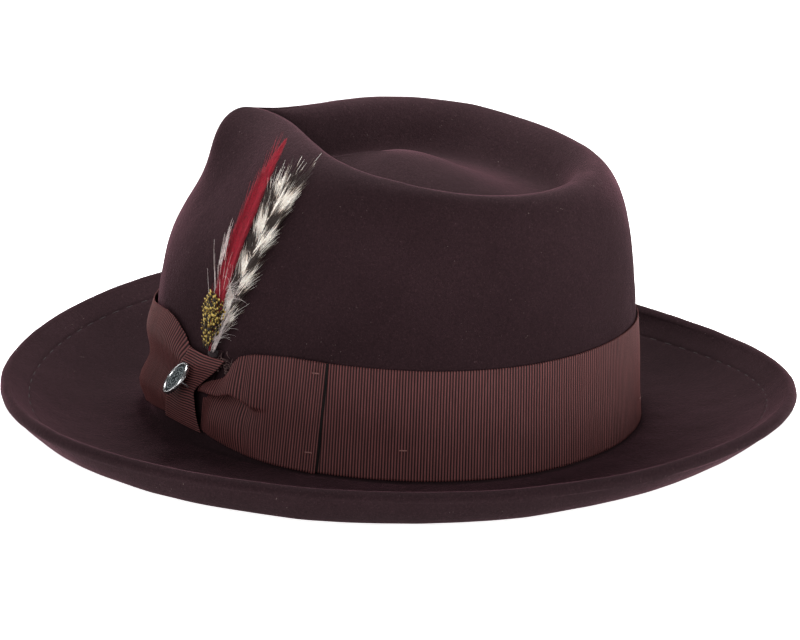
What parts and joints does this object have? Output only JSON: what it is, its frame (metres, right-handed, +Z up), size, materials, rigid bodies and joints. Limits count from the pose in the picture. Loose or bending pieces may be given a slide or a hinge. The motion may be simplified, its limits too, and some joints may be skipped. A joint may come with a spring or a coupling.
{
  "type": "fedora hat",
  "caption": "Felt fedora with a teardrop crown, upturned welted brim, ribbon band and bow, a round pin badge and a feather trim.",
  "frame": {"origin": "centre of the bounding box in plan, at the surface the hat rests on", "axes": "+Z up; -Y out of the hat's front; +X towards the wearer's left, where the bow is"},
  "size_m": [0.3046, 0.3343, 0.1326],
  "materials": {
    "felt": "dense brushed fur felt, matt",
    "ribbon": "ribbed grosgrain, low sheen",
    "thread": "matt sewing thread",
    "badge_metal": "polished white metal",
    "badge_enamel": null,
    "feather_felt": "stiff dark felt",
    "barred_feather": "cream feather with dark bars",
    "red_feather": "dyed red feather",
    "gold_feather": "golden speckled feather",
    "white_feather": "fine white wisps",
    "sweatband_leather": "smooth semi-gloss leather",
    "reed_plastic": "cloth-covered plastic cord",
    "label_cloth": "plain woven cloth, unlettered",
    "lining_satin": "satin"
  },
  "bodies": {
    "hat": {"felt_body": "felt", "ribbon_band": "ribbon", "bow_leaf": "ribbon", "bow_knot": "ribbon", "leaf_stitch_upper": "thread", "leaf_stitch_lower": "thread", "band_stitch_left": "thread", "band_stitch_back": "thread", "band_stitch_right": "thread", "sweatband": "sweatband_leather", "sweatband_reed": "reed_plastic", "sweatband_bow_left": "ribbon", "sweatband_bow_right": "ribbon", "sweatband_bow_knot": "ribbon", "size_label": "label_cloth", "lining_side": "lining_satin", "lining_tip": "lining_satin", "lining_piping": "ribbon", "lining_patch": "label_cloth"},
    "feather_trim": {"feather_tab": "feather_felt", "feather_binding": "thread", "feather_barred": "barred_feather", "feather_red": "red_feather", "feather_gold": "gold_feather", "feather_white": "white_feather"},
    "badge_pin": {"badge_needle": "badge_metal"},
    "badge_head": {"badge_case": "badge_metal", "badge_face": "badge_enamel"}
  },
  "joints": [
    {"name": "feather_slide", "type": "slide", "parent": "hat", "child": "feather_trim", "axis": [0.02, 0.2401, 0.9705], "range_m": [0, 0.05]},
    {"name": "badge_slide", "type": "slide", "parent": "hat", "child": "badge_pin", "axis": [0.3514, -0.6752, 0.6486], "range_m": [0, 0.012]},
    {"name": "badge_spin", "type": "hinge", "parent": "badge_pin", "child": "badge_head", "pos_m": [0.0739, -0.0767, 0.0353], "axis": [0.3514, -0.6752, 0.6486], "continuous": true}
  ]
}
